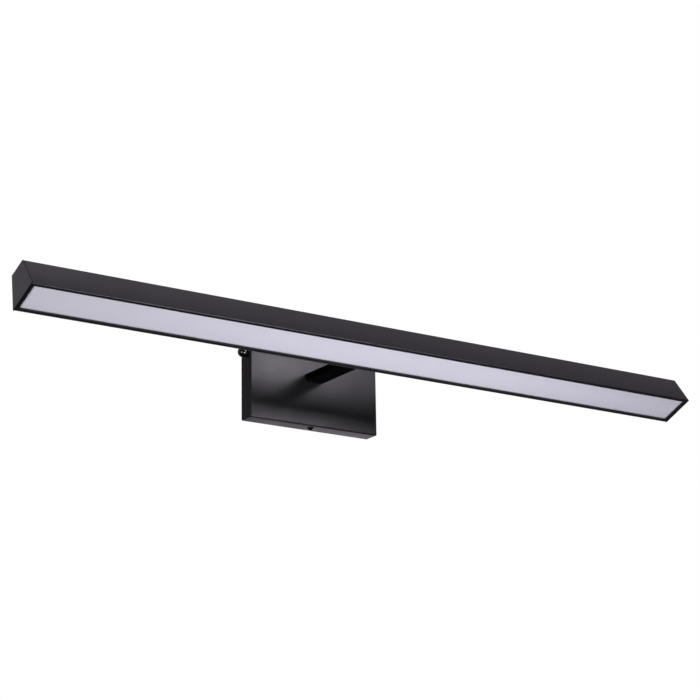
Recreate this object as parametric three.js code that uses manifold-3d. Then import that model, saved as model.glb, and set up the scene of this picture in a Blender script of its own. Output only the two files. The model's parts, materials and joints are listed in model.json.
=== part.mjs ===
// LED vanity light bar: a long lamp head of trapezoidal section, tilting on the end of a flat arm that
// stands out of a shallow wall canopy. Millimetres, +Z up. The wall is the plane y = 0, +X runs along
// the bar and the light faces -Y. The origin is the middle of the wall bracket's back face.

import * as THREE from "three";
import { mergeVertices } from "three/addons/utils/BufferGeometryUtils.js";
import Module from "manifold-3d";

// ---- driving dimensions ----

const BAR_LENGTH = 914.4; // 36 in over the end caps
const HEAD_BASE = 48.3; // across the rim that holds the diffuser
const HEAD_TOP = 27.5;
const HEAD_HEIGHT = 39.75;
const HEAD_WALL = 1.4;
const HEAD_TILT = THREE.MathUtils.degToRad(22.3); // diffuser's front edge raised from level

const CANOPY_WIDTH = 181.4;
const CANOPY_HEIGHT = 119.7;
const CANOPY_DEPTH = 21.2;
const CANOPY_WALL = 1.5;

const ARM_WIDTH = 24;
const ARM_HEIGHT = 9.4;
const ARM_WALL = 1.5;

const PIVOT_REACH = 132.1; // tilt axis to the wall
const PIVOT_STAND_OFF = 8; // tilt axis to the outside of the head's back leg
const PIVOT_UP_LEG = 23.3; // the axis's foot on that leg, measured up from the rim

const CABLE_RADIUS = 2.1;
const LEAD_RADIUS = 1;
const SLIP = 0.3; // space left between neighbours in the tilted head
const LOOSE = 0.1; // radial play round a shaft or a screw

// ---- derived places ----

const LEG_SLOPE = Math.atan2((HEAD_BASE - HEAD_TOP) / 2, HEAD_HEIGHT);
const CAP_THICKNESS = HEAD_WALL;
const HOUSING_END = BAR_LENGTH / 2 - CAP_THICKNESS;
const CANOPY_SIDE = CANOPY_WIDTH / 2;
const CANOPY_EDGE = CANOPY_HEIGHT / 2;
const CANOPY_INSIDE = CANOPY_WALL - CANOPY_DEPTH; // inner face of the canopy's front
const MID_DEPTH = -CANOPY_DEPTH / 2;

// ---- materials ----

const finish = (color, roughness, metalness) =>
  new THREE.MeshStandardMaterial({ color, roughness, metalness });

const blackCoat = finish(0x1c1b1e, 0.42, 0.35);
const blackGloss = finish(0x0c0c0e, 0.15, 0.3);
const blackPlastic = finish(0x101012, 0.6, 0);
const opalAcrylic = finish(0xdedce8, 0.45, 0);
const zincSteel = finish(0xb4b7ba, 0.35, 0.9);
const millAluminium = finish(0xc6c8ca, 0.4, 0.9);
const whitePlastic = finish(0xe8e8e4, 0.5, 0);
const whiteBoard = finish(0xf2f2ee, 0.4, 0);
const greyTape = finish(0x8c9094, 0.8, 0);
const blackRubber = finish(0x18181a, 0.85, 0);
const blackPvc = finish(0x1a1a1a, 0.5, 0);
const whitePvc = finish(0xe6e6e2, 0.5, 0);
const redPvc = finish(0xa02020, 0.5, 0);
const greenPvc = finish(0x2f7d3a, 0.5, 0);

// ---- solids ----

const wasm = await Module();
wasm.setup();

// A closed geometry as a solid for joining and cutting, with its faces turned outwards.
function solidOf(geometry) {
  geometry.deleteAttribute("normal");
  geometry.deleteAttribute("uv");
  const merged = mergeVertices(geometry, 1e-4);
  const triVerts = new Uint32Array(merged.index.array);
  const vertProperties = merged.attributes.position.array;
  const made = new wasm.Manifold(new wasm.Mesh({ numProp: 3, vertProperties, triVerts }));
  if (made.volume() > 0) return made;
  return new wasm.Manifold(new wasm.Mesh({ numProp: 3, vertProperties, triVerts: triVerts.reverse() }));
}

function geometryOf(solid) {
  const mesh = solid.getMesh();
  const geometry = new THREE.BufferGeometry();
  geometry.setAttribute("position", new THREE.BufferAttribute(mesh.vertProperties, 3));
  geometry.setIndex(new THREE.BufferAttribute(mesh.triVerts, 1));
  geometry.computeVertexNormals();
  return geometry;
}

const join = (first, ...others) => others.reduce((whole, next) => whole.add(next), first);
const cut = (first, ...others) => others.reduce((left, next) => left.subtract(next), first);

// A span between two values, the lower one first.
const ordered = (a, b) => (a < b ? [a, b] : [b, a]);

// A rectangular block between two values on each axis.
function block([x0, x1], [y0, y1], [z0, z1]) {
  const geometry = new THREE.BoxGeometry(x1 - x0, y1 - y0, z1 - z0);
  geometry.translate((x0 + x1) / 2, (y0 + y1) / 2, (z0 + z1) / 2);
  return solidOf(geometry);
}

// A block centred on x = 0 and z = 0, given its whole width and height.
const bar = (width, span, height) => block([-width / 2, width / 2], span, [-height / 2, height / 2]);

// The turn that carries a lathe's or cylinder's own +Y axis onto a named axis.
const AXIS_TURN = {
  x: new THREE.Matrix4().makeRotationZ(-Math.PI / 2),
  y: new THREE.Matrix4(),
  z: new THREE.Matrix4().makeRotationX(Math.PI / 2),
};

// A round rod along an axis, from one value to another, centred on the other two coordinates.
function rod(axis, radius, [from, to], [a, b], sides = 24) {
  const geometry = new THREE.CylinderGeometry(radius, radius, to - from, sides);
  const middle = (from + to) / 2;
  const centre = { x: [middle, a, b], y: [a, middle, b], z: [a, b, middle] }[axis];
  geometry.applyMatrix4(AXIS_TURN[axis]).translate(...centre);
  return solidOf(geometry);
}

// An outline of [y, z] points extruded along X.
function prismX(outline, [x0, x1]) {
  const shape = new THREE.Shape(outline.map(([y, z]) => new THREE.Vector2(y, z)));
  const geometry = new THREE.ExtrudeGeometry(shape, { depth: x1 - x0, bevelEnabled: false });
  const toX = new THREE.Matrix4().makeBasis(
    new THREE.Vector3(0, 1, 0),
    new THREE.Vector3(0, 0, 1),
    new THREE.Vector3(1, 0, 0),
  );
  geometry.applyMatrix4(toX).translate(x0, 0, 0);
  return solidOf(geometry);
}

// A profile of [radius, height] points revolved about an axis.
function revolve(axis, profile, sides = 24) {
  const points = profile.map(([radius, height]) => new THREE.Vector2(radius, height));
  return solidOf(new THREE.LatheGeometry(points, sides).applyMatrix4(AXIS_TURN[axis]));
}

// Points on an arc about a centre, both ends included, angles in degrees.
function arc([a, b], radius, from, to, count) {
  return Array.from({ length: count + 1 }, (_, i) => {
    const angle = THREE.MathUtils.degToRad(from + ((to - from) * i) / count);
    return [a + radius * Math.cos(angle), b + radius * Math.sin(angle)];
  });
}

// A hexagonal prism along an axis, by its radius to the corners.
const hexagon = (axis, radius, span, centre) => rod(axis, radius, span, centre, 6);

// A round tube through points, for a cable or a lead.
function tube(radius, points, steps, sides = 8) {
  const section = arc([0, 0], radius, 0, 360 - 360 / sides, sides - 1);
  const shape = new THREE.Shape(section.map(([x, y]) => new THREE.Vector2(x, y)));
  const path = new THREE.CatmullRomCurve3(points.map((point) => new THREE.Vector3(...point)));
  return solidOf(new THREE.ExtrudeGeometry(shape, { steps, extrudePath: path }));
}

// A screw standing on z = 0: domed head above, shank below, and a hexagonal socket in the head.
function domedScrew({ head, rise, shank, length }) {
  const crown = (rise * rise + head * head) / (2 * rise);
  const halfAngle = THREE.MathUtils.radToDeg(Math.asin(head / crown));
  const dome = arc([0, rise - crown], crown, 90 - halfAngle, 90, 4);
  dome[dome.length - 1] = [0, rise];
  const profile = [[0, -length], [shank, -length], [shank, 0], [head, 0], ...dome.slice(1)];
  return cut(revolve("z", profile, 16), hexagon("z", head * 0.42, [rise * 0.35, rise * 2], [0, 0]));
}

// A screw with a flat cylindrical head on z = 0.
function flatScrew({ head, rise, shank, length }) {
  const profile = [[0, -length], [shank, -length], [shank, 0], [head, 0], [head, rise], [0, rise]];
  return cut(revolve("z", profile, 16), hexagon("z", head * 0.5, [rise * 0.4, rise * 2], [0, 0]));
}

// ---- the scene graph ----

const light = new THREE.Group(); // wall bracket, canopy and arm, which stay still
const knobGroup = new THREE.Group(); // the dimmer's knob and shaft
const head = new THREE.Group(); // the lamp head, in its own level frame: y across, z up from the rim
const leg = new THREE.Group(); // on the head's back leg: y straight out of it, z up along it

function piece(parent, name, solid, material) {
  const mesh = new THREE.Mesh(geometryOf(solid), material);
  mesh.name = name;
  parent.add(mesh);
  return mesh;
}

const legFoot = {
  y: HEAD_BASE / 2 - PIVOT_UP_LEG * Math.sin(LEG_SLOPE),
  z: PIVOT_UP_LEG * Math.cos(LEG_SLOPE),
};
const pivotInHead = {
  y: legFoot.y + PIVOT_STAND_OFF * Math.cos(LEG_SLOPE),
  z: legFoot.z + PIVOT_STAND_OFF * Math.sin(LEG_SLOPE),
};

const headTurn = new THREE.Group();
headTurn.position.set(0, -PIVOT_REACH, 0);
headTurn.rotation.x = -HEAD_TILT;
head.position.set(0, -pivotInHead.y, -pivotInHead.z);
leg.position.set(0, legFoot.y, legFoot.z);
leg.rotation.x = LEG_SLOPE;
light.add(headTurn, knobGroup);
headTurn.add(head);
head.add(leg);

// ---- canopy: a folded steel pan with weld studs inside its front ----

const KNOB_RISE = 22.3; // dimmer's axis above the canopy's middle
const SWITCH_BUSHING = 3;
const CANOPY_SCREW = { head: 5.4, rise: 2.6, shank: 2, length: 12 };
const BUSHING_PLAY = 0.2;
const STUD_RADIUS = 2;
const STUD_LENGTH = 7;
const STUD_PLACES = [
  [-22, -12.5],
  [22, -12.5],
  [-22, 12.5],
  [22, 12.5],
];
const FLANGE_THICKNESS = 2;
const FLANGE_FACE = CANOPY_INSIDE + FLANGE_THICKNESS;

function canopyShell() {
  const leftWall = [-CANOPY_SIDE - 1, 1 - CANOPY_SIDE + CANOPY_WALL];
  const pan = cut(
    bar(CANOPY_WIDTH, [-CANOPY_DEPTH, 0], CANOPY_HEIGHT),
    bar(CANOPY_WIDTH - 2 * CANOPY_WALL, [CANOPY_INSIDE, 1], CANOPY_HEIGHT - 2 * CANOPY_WALL),
    bar(ARM_WIDTH + SLIP, [-CANOPY_DEPTH - 1, CANOPY_INSIDE + 1], ARM_HEIGHT + SLIP),
    rod("x", SWITCH_BUSHING + BUSHING_PLAY, leftWall, [MID_DEPTH, KNOB_RISE]),
    rod("z", CANOPY_SCREW.shank + SLIP, [-CANOPY_EDGE - 1, CANOPY_EDGE + 1], [0, MID_DEPTH]),
  );
  const studSpan = [CANOPY_INSIDE - CANOPY_WALL / 2, CANOPY_INSIDE + STUD_LENGTH];
  const studs = STUD_PLACES.map((place) => rod("y", STUD_RADIUS, studSpan, place, 12));
  return join(pan, ...studs);
}

piece(light, "canopy_shell", canopyShell(), blackCoat);

for (const [name, side] of [["canopy_screw_top", 1], ["canopy_screw_bottom", -1]]) {
  const screw = piece(light, name, domedScrew(CANOPY_SCREW), blackGloss);
  screw.position.set(0, MID_DEPTH, side * CANOPY_EDGE);
  if (side < 0) screw.rotation.x = Math.PI;
}

// ---- wall bracket: crossed straps, with tabs that take the canopy's two screws ----

const BRACKET_THICKNESS = 2;
const BRACKET_EDGE = CANOPY_EDGE - CANOPY_WALL - 0.35;
const STRAP_WIDTH = 34;
const TAB_DEPTH = 16;
const CROSSBAR = { length: 110, height: 24 };
const BOX_SCREW_SPACING = 88.9; // 3.5 in, the ears of a 4 in ceiling or wall box
const SLOT = { length: 12, width: 4.8 };
const GROUND_PLACE = [-10, -30];
const GROUND_SCREW = { head: 3.6, rise: 2.4, shank: 1.8, length: 1.9 };
const TERMINAL_FACE = -BRACKET_THICKNESS;

function boxScrewSlot(x) {
  const half = (SLOT.length - SLOT.width) / 2;
  const through = [-BRACKET_THICKNESS - 1, 1];
  return join(
    block([x - half, x + half], through, [-SLOT.width / 2, SLOT.width / 2]),
    rod("y", SLOT.width / 2, through, [x - half, 0], 16),
    rod("y", SLOT.width / 2, through, [x + half, 0], 16),
  );
}

function mountingBracket() {
  const tab = (z0, z1) => block([-STRAP_WIDTH / 2, STRAP_WIDTH / 2], [-TAB_DEPTH, 0], [z0, z1]);
  const plate = join(
    bar(STRAP_WIDTH, [-BRACKET_THICKNESS, 0], 2 * BRACKET_EDGE),
    bar(CROSSBAR.length, [-BRACKET_THICKNESS, 0], CROSSBAR.height),
    tab(BRACKET_EDGE - BRACKET_THICKNESS, BRACKET_EDGE),
    tab(-BRACKET_EDGE, BRACKET_THICKNESS - BRACKET_EDGE),
  );
  return cut(
    plate,
    boxScrewSlot(-BOX_SCREW_SPACING / 2),
    boxScrewSlot(BOX_SCREW_SPACING / 2),
    rod("z", CANOPY_SCREW.shank + LOOSE, [-BRACKET_EDGE - 1, BRACKET_EDGE + 1], [0, MID_DEPTH]),
    rod("y", GROUND_SCREW.shank + LOOSE, [-BRACKET_THICKNESS - 1, 1], GROUND_PLACE, 16),
  );
}

piece(light, "mounting_bracket", mountingBracket(), zincSteel);

// Ring terminal under the head of the ground screw, with its crimp barrel pointing up to the lead.
const RING = { thickness: 0.8, radius: 4, tongue: 1.5 };
const BARREL = { radius: 1.6, from: 4, to: 10 };

function groundRing() {
  const [x, z] = GROUND_PLACE;
  const flat = [TERMINAL_FACE - RING.thickness, TERMINAL_FACE];
  const through = [flat[0] - 1, flat[1] + 1];
  const tongue = block([x - RING.tongue, x + RING.tongue], flat, [z + RING.radius - 1, z + BARREL.from + 2]);
  const ring = cut(
    join(rod("y", RING.radius, flat, GROUND_PLACE, 16), tongue),
    rod("y", GROUND_SCREW.shank + LOOSE, through, GROUND_PLACE, 16),
  );
  const barrel = [z + BARREL.from, z + BARREL.to];
  return join(ring, rod("z", BARREL.radius, barrel, [x, TERMINAL_FACE - BARREL.radius], 12));
}

piece(light, "ground_ring_terminal", groundRing(), zincSteel);

const groundScrew = piece(light, "ground_screw", flatScrew(GROUND_SCREW), greenPvc);
groundScrew.position.set(GROUND_PLACE[0], TERMINAL_FACE - RING.thickness, GROUND_PLACE[1]);
groundScrew.rotation.x = Math.PI / 2;

// Three-pole terminal block on the right half of the crossbar: wires enter along X, screws face out.
const BLOCK = { x: [14, 34], depth: 10, height: 20, pitch: 6 };
const SCREW_WELL = { radius: 1.9, depth: 2.5, inset: 5 };
const WIRE_WELL = { radius: 1.5, depth: 4 };

function terminalBlock() {
  const [left, right] = BLOCK.x;
  const front = TERMINAL_FACE - BLOCK.depth;
  const middle = TERMINAL_FACE - BLOCK.depth / 2;
  const screwSpan = [front - 1, front + SCREW_WELL.depth];
  const body = block(BLOCK.x, [front, TERMINAL_FACE], [-BLOCK.height / 2, BLOCK.height / 2]);
  const holes = [-BLOCK.pitch, 0, BLOCK.pitch].flatMap((z) => [
    rod("y", SCREW_WELL.radius, screwSpan, [left + SCREW_WELL.inset, z], 12),
    rod("y", SCREW_WELL.radius, screwSpan, [right - SCREW_WELL.inset, z], 12),
    rod("x", WIRE_WELL.radius, [left - 1, left + WIRE_WELL.depth], [middle, z], 12),
    rod("x", WIRE_WELL.radius, [right - WIRE_WELL.depth, right + 1], [middle, z], 12),
  ]);
  return cut(body, ...holes);
}

piece(light, "terminal_block", terminalBlock(), whitePlastic);

// ---- arm: a flat steel tube welded to a flange that four nuts hold behind the canopy's front ----

const ARM_END = -PIVOT_REACH + 14; // front end of the tube
const FLANGE = { width: 60, height: 40 };
const NUT = { radius: 4.05, height: 3.2 };
const GROMMET_COLLAR = { margin: 2, thickness: 2.4 };
const GROMMET_SLEEVE = 6; // length inside the arm
const WIRE_WAY = { width: 17, height: 4.6 }; // the cable's way through the grommet and the pivot block
const armBore = { width: ARM_WIDTH - 2 * ARM_WALL, height: ARM_HEIGHT - 2 * ARM_WALL };

function armTube() {
  const bore = bar(armBore.width, [ARM_END - 1, FLANGE_FACE + 1], armBore.height);
  return cut(bar(ARM_WIDTH, [ARM_END, FLANGE_FACE], ARM_HEIGHT), bore);
}

function armFlange() {
  const through = [CANOPY_INSIDE - 1, FLANGE_FACE + 1];
  const studHoles = STUD_PLACES.map((place) => rod("y", STUD_RADIUS + SLIP, through, place, 12));
  return cut(
    bar(FLANGE.width, [CANOPY_INSIDE, FLANGE_FACE], FLANGE.height),
    bar(ARM_WIDTH + LOOSE, through, ARM_HEIGHT + LOOSE),
    ...studHoles,
  );
}

function flangeNut(place) {
  const span = [FLANGE_FACE, FLANGE_FACE + NUT.height];
  const bore = rod("y", STUD_RADIUS + LOOSE, [span[0] - 1, span[1] + 1], place, 12);
  return cut(hexagon("y", NUT.radius, span, place), bore);
}

function armGrommet() {
  const front = FLANGE_FACE - GROMMET_SLEEVE;
  const back = FLANGE_FACE + GROMMET_COLLAR.thickness;
  const { margin } = GROMMET_COLLAR;
  const collar = bar(ARM_WIDTH + margin, [FLANGE_FACE + LOOSE, back], ARM_HEIGHT + margin);
  const sleeve = bar(armBore.width - SLIP, [front, FLANGE_FACE + 1], armBore.height - SLIP);
  return cut(join(collar, sleeve), bar(WIRE_WAY.width, [front - 1, back + 1], WIRE_WAY.height));
}

piece(light, "arm_tube", armTube(), blackCoat);
piece(light, "arm_flange", armFlange(), zincSteel);
STUD_PLACES.forEach((place, i) => piece(light, `flange_nut_${i + 1}`, flangeNut(place), zincSteel));
piece(light, "arm_grommet", armGrommet(), blackRubber);

// ---- tilt joint: a forked block in the arm's end, and a screw through a friction washer each side ----

const WIRE_SLOT = 8;
const PIVOT_SCREW = { head: 4, rise: 2.4, shank: 2, length: 10 };
const EAR = { inner: 12.9, thickness: 2, radius: 6 };
const WASHER = { inner: 12.2, thickness: 0.5, radius: 5.2, play: 0.2 };
const PLUG_LENGTH = 12; // of the block, inside the arm's tube
const FORK_DEPTH = 5.5; // of the wire slot, behind the tilt axis

function pivotBlock() {
  const axis = [-PIVOT_REACH, 0];
  const half = ARM_WIDTH / 2;
  const front = -PIVOT_REACH - ARM_HEIGHT / 2 - 1;
  const back = ARM_END + PLUG_LENGTH;
  const plug = bar(armBore.width - SLIP, [ARM_END - 1, back], armBore.height - SLIP);
  const body = bar(ARM_WIDTH, [-PIVOT_REACH, ARM_END - LOOSE], ARM_HEIGHT);
  const nose = rod("x", ARM_HEIGHT / 2, [-half, half], axis, 32);
  return cut(
    join(plug, body, nose),
    bar(WIRE_SLOT, [front, back + 1], WIRE_WAY.height),
    bar(WIRE_SLOT, [front, FORK_DEPTH - PIVOT_REACH], ARM_HEIGHT + 2),
    rod("x", PIVOT_SCREW.shank + LOOSE, [-half - 1, half + 1], axis),
  );
}

function frictionWasher(side) {
  const span = ordered(side * WASHER.inner, side * (WASHER.inner + WASHER.thickness));
  const axis = [-PIVOT_REACH, 0];
  return cut(
    rod("x", WASHER.radius, span, axis),
    rod("x", PIVOT_SCREW.shank + WASHER.play, [span[0] - 1, span[1] + 1], axis),
  );
}

piece(light, "pivot_block", pivotBlock(), blackCoat);
for (const [name, side] of [["left", -1], ["right", 1]]) {
  piece(light, `friction_washer_${name}`, frictionWasher(side), zincSteel);
  const screw = piece(light, `pivot_screw_${name}`, flatScrew(PIVOT_SCREW), blackGloss);
  screw.position.set(side * (EAR.inner + EAR.thickness + LOOSE), -PIVOT_REACH, 0);
  screw.rotation.y = (side * Math.PI) / 2;
}

// The head's half of the joint, in the leg's frame: a folded bracket outside, a nut plate inside.
const SEAT = { half: 25, height: 16, thickness: 2 };
const SEAT_SCREW = { head: 2.8, rise: 1.5, shank: 1.5, length: 6.6, place: 20.6 };
const GROMMET = { flange: 6.2, neck: 4.8, lip: 1.2 };
const NUT_PLATE = { height: 14, thickness: 2 };

function tiltBracket() {
  const outer = SLIP + SEAT.thickness;
  const outline = [
    [SLIP, -SEAT.height / 2],
    ...arc([PIVOT_STAND_OFF, 0], EAR.radius, -60, 60, 8),
    [SLIP, SEAT.height / 2],
  ];
  const ears = [-1, 1].map((side) =>
    prismX(outline, ordered(side * EAR.inner, side * (EAR.inner + EAR.thickness))),
  );
  const seat = bar(2 * SEAT.half, [SLIP, outer], SEAT.height);
  const screwHoles = [-1, 1].map((side) =>
    rod("y", SEAT_SCREW.shank + LOOSE, [0, outer + 1], [side * SEAT_SCREW.place, 0], 16),
  );
  const whole = EAR.inner + EAR.thickness + 1;
  return cut(
    join(seat, ...ears),
    rod("x", PIVOT_SCREW.shank + LOOSE, [-whole, whole], [PIVOT_STAND_OFF, 0]),
    rod("y", GROMMET.flange + SLIP, [0, outer + 1], [0, 0], 16),
    ...screwHoles,
  );
}

function nutPlate() {
  const front = -HEAD_WALL - SLIP;
  const back = front - NUT_PLATE.thickness;
  return cut(
    bar(2 * SEAT.half, [back, front], NUT_PLATE.height),
    rod("y", GROMMET.flange + SLIP, [back - 1, front + 1], [0, 0], 16),
    ...[-1, 1].map((side) =>
      rod("y", SEAT_SCREW.shank + LOOSE, [back - 1, front + 1], [side * SEAT_SCREW.place, 0], 16),
    ),
  );
}

function cableGrommet() {
  const outside = [LOOSE, LOOSE + GROMMET.lip];
  const inside = [-HEAD_WALL - LOOSE - GROMMET.lip, -HEAD_WALL - LOOSE];
  return cut(
    join(
      rod("y", GROMMET.flange, outside, [0, 0], 16),
      rod("y", GROMMET.neck, [inside[0], outside[1]], [0, 0], 16),
      rod("y", GROMMET.flange, inside, [0, 0], 16),
    ),
    rod("y", CABLE_RADIUS + SLIP, [inside[0] - 1, outside[1] + 1], [0, 0], 16),
  );
}

piece(leg, "tilt_bracket", tiltBracket(), blackCoat);
piece(leg, "tilt_nut_plate", nutPlate(), zincSteel);
piece(leg, "cable_grommet", cableGrommet(), blackRubber);
for (const [name, side] of [["left", -1], ["right", 1]]) {
  const screw = piece(leg, `tilt_bracket_screw_${name}`, flatScrew(SEAT_SCREW), blackGloss);
  screw.position.set(side * SEAT_SCREW.place, SLIP + SEAT.thickness + LOOSE, 0);
  screw.rotation.x = -Math.PI / 2;
}

// ---- lamp head: housing, end caps, frame and diffuser ----

const RIB = { low: 12.9, high: 14.1, reach: 4.6 }; // two inner ribs that the gear tray screws up to
const FRAME = { low: 0.2, seat: 1.8, high: 4.5, side: 3.2, end: 3.6, lap: 1.1 };
const DIFFUSER = { low: 2, high: 4 };
const TRAY = { low: 11.1, high: 12.6 };
const HOLE_SIDES = 12; // round holes too small to need more

// Half the head's width at a height over the rim, set in from the leg's face by an inset.
const halfWidth = (z, inset = 0) => HEAD_BASE / 2 - z * Math.tan(LEG_SLOPE) - inset / Math.cos(LEG_SLOPE);

// The frame's window, through which the diffuser shows.
const windowEnd = HOUSING_END - FRAME.end;
const windowSide = halfWidth(0, HEAD_WALL) - FRAME.side;

// A trapezoid between two heights whose sides follow the legs.
function trapezoid(low, high, inset = 0) {
  return [
    [-halfWidth(low, inset), low],
    [halfWidth(low, inset), low],
    [halfWidth(high, inset), high],
    [-halfWidth(high, inset), high],
  ];
}

// A rod straight through the back leg at a place in the leg's frame, given in the head's frame.
function legHole(radius, x, sides = 16) {
  const reach = 4;
  const geometry = new THREE.CylinderGeometry(radius, radius, 2 * reach, sides);
  geometry.rotateX(LEG_SLOPE).translate(x, legFoot.y, legFoot.z);
  return solidOf(geometry);
}

function housing() {
  const span = [-HOUSING_END, HOUSING_END];
  const beyond = [-HOUSING_END - 1, HOUSING_END + 1];
  const lower = prismX(trapezoid(-1, RIB.low, HEAD_WALL), beyond);
  const between = prismX(trapezoid(RIB.low, RIB.high, HEAD_WALL + RIB.reach), beyond);
  const upper = prismX(trapezoid(RIB.high, HEAD_HEIGHT - HEAD_WALL, HEAD_WALL), beyond);
  return cut(
    prismX(trapezoid(0, HEAD_HEIGHT), span),
    join(lower, between, upper),
    ...TRAY_SCREW_PLACES.map((place) =>
      rod("z", TRAY_SCREW.shank + LOOSE, [RIB.low - 1, RIB.high + 1], place, HOLE_SIDES),
    ),
    legHole(GROMMET.neck + 0.2, 0),
    legHole(SEAT_SCREW.shank + LOOSE, SEAT_SCREW.place),
    legHole(SEAT_SCREW.shank + LOOSE, -SEAT_SCREW.place),
  );
}

// An end cap: a plate over the housing's end, with a foot inside that a screw holds to the tray.
const FOOT = { length: 12, width: 16, thickness: 1.5 };
const FOOT_SCREW = { head: 2.8, rise: 1.6, shank: 1.5, length: 5 };
const footPlace = HOUSING_END - FOOT.length / 2;
const footLow = TRAY.high + SLIP;
const footHigh = footLow + FOOT.thickness;

function endCap(side) {
  const across = [-FOOT.width / 2, FOOT.width / 2];
  const plate = prismX(trapezoid(0, HEAD_HEIGHT), ordered(side * HOUSING_END, (side * BAR_LENGTH) / 2));
  const along = ordered(side * (HOUSING_END - FOOT.length), side * (HOUSING_END + CAP_THICKNESS / 2));
  const foot = block(along, across, [footLow, footHigh]);
  const through = [footLow - 1, footHigh + 1];
  const hole = rod("z", FOOT_SCREW.shank + LOOSE, through, [side * footPlace, 0], HOLE_SIDES);
  return cut(join(plate, foot), hole);
}

function diffuserFrame() {
  const end = HOUSING_END - LOOSE;
  const above = FRAME.high + 1;
  const outer = prismX(trapezoid(FRAME.low, FRAME.high, HEAD_WALL + SLIP), [-end, end]);
  const opening = block([-windowEnd, windowEnd], [-windowSide, windowSide], [FRAME.low - 1, above]);
  const pocket = block(
    [-windowEnd - FRAME.lap, windowEnd + FRAME.lap],
    [-windowSide - FRAME.lap, windowSide + FRAME.lap],
    [FRAME.seat, above],
  );
  return cut(outer, opening, pocket);
}

function diffuser() {
  const end = windowEnd + FRAME.lap - SLIP;
  const side = windowSide + FRAME.lap - SLIP;
  return block([-end, end], [-side, side], [DIFFUSER.low, DIFFUSER.high]);
}

// ---- lamp head: tray, boards and driver ----

const TRAY_SCREW = { head: 2.6, rise: 1.4, shank: 1.4, length: 3.4 };
const TRAY_SCREW_PLACES = [
  [-300, -16],
  [-300, 16],
  [300, -16],
  [300, 16],
];
const TRAY_END_ROOM = 1;
const LEAD_HOLE = { x: 214, y: 13, radius: 3 };
const DRIVER = { from: 40, to: 190, half: 10.5, low: 12.9, high: 29, foot: 10, footHeight: 1.8 };
const DRIVER_SCREW = { head: 2.8, rise: 1.6, shank: 1.5, length: 4.2 };
const driverScrewPlaces = [DRIVER.from - DRIVER.foot / 2, DRIVER.to + DRIVER.foot / 2];
const footScrewPlaces = [-footPlace, footPlace];

// Upright holes of one radius at places along the head's middle.
const middleHoles = (radius, span, places) =>
  places.map((x) => rod("z", radius, span, [x, 0], HOLE_SIDES));

function gearTray() {
  const end = HOUSING_END - TRAY_END_ROOM;
  const half = halfWidth(TRAY.high, HEAD_WALL + SLIP);
  const through = [TRAY.low - 1, TRAY.high + 1];
  return cut(
    block([-end, end], [-half, half], [TRAY.low, TRAY.high]),
    ...TRAY_SCREW_PLACES.map((place) => rod("z", TRAY_SCREW.shank + LOOSE, through, place, HOLE_SIDES)),
    ...middleHoles(DRIVER_SCREW.shank + LOOSE, through, driverScrewPlaces),
    ...middleHoles(FOOT_SCREW.shank + LOOSE, through, footScrewPlaces),
    rod("z", LEAD_HOLE.radius, through, [LEAD_HOLE.x, LEAD_HOLE.y], 16),
  );
}

const BOARD = { length: 296, width: 17, thickness: 1.2, count: 3, pitch: 298 };
const TAPE = { thickness: 0.3, half: 7, endRoom: 2, gap: 0.2 };
const LED = { count: 24, length: 3.5, width: 2.8, height: 0.7 };
const SCREW_WAY = 3.4; // radius left clear round the screws' ends
const DRIVER_SCREW_WAY = 2;
const CONNECTOR = { half: 7, from: 3.2, to: 7.6, height: 2.3 };
const boardTop = TRAY.low - TAPE.thickness - 2 * TAPE.gap;
const boardLow = boardTop - BOARD.thickness;

function ledBoard(centre) {
  const start = centre - BOARD.length / 2;
  const through = [boardLow - 1, boardTop + 1];
  const across = [-BOARD.width / 2, BOARD.width / 2];
  const board = block([start, start + BOARD.length], across, [boardLow, boardTop]);
  const lights = Array.from({ length: LED.count }, (_, i) => {
    const x = start + (BOARD.length * (i + 0.5)) / LED.count;
    return block(
      [x - LED.length / 2, x + LED.length / 2],
      [-LED.width / 2, LED.width / 2],
      [boardLow - LED.height, boardLow + BOARD.thickness / 2],
    );
  });
  return cut(
    join(board, ...lights),
    ...middleHoles(SCREW_WAY, through, footScrewPlaces),
    ...middleHoles(DRIVER_SCREW_WAY, through, driverScrewPlaces),
  );
}

function thermalTape(centre) {
  const half = BOARD.length / 2 - TAPE.endRoom;
  const low = boardTop + TAPE.gap;
  const strip = block([centre - half, centre + half], [-TAPE.half, TAPE.half], [low, low + TAPE.thickness]);
  const places = [...driverScrewPlaces, ...footScrewPlaces];
  return cut(strip, ...middleHoles(SCREW_WAY, [boardTop, TRAY.low], places));
}

function boardConnector(x) {
  const high = boardLow - LOOSE;
  return block(
    [x - CONNECTOR.half, x + CONNECTOR.half],
    [CONNECTOR.from, CONNECTOR.to],
    [high - CONNECTOR.height, high],
  );
}

function ledDriver() {
  const across = [-DRIVER.half, DRIVER.half];
  const footTop = DRIVER.low + DRIVER.footHeight;
  const body = block([DRIVER.from, DRIVER.to], across, [DRIVER.low, DRIVER.high]);
  const feet = block([DRIVER.from - DRIVER.foot, DRIVER.to + DRIVER.foot], across, [DRIVER.low, footTop]);
  const through = [DRIVER.low - 1, footTop + 1];
  return cut(join(body, feet), ...middleHoles(DRIVER_SCREW.shank + LOOSE, through, driverScrewPlaces));
}

piece(head, "housing", housing(), blackCoat);
piece(head, "end_cap_left", endCap(-1), blackCoat);
piece(head, "end_cap_right", endCap(1), blackCoat);
piece(head, "diffuser_frame", diffuserFrame(), blackPlastic);
piece(head, "diffuser", diffuser(), opalAcrylic);
piece(head, "gear_tray", gearTray(), millAluminium);
piece(head, "led_driver", ledDriver(), whitePlastic);

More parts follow.
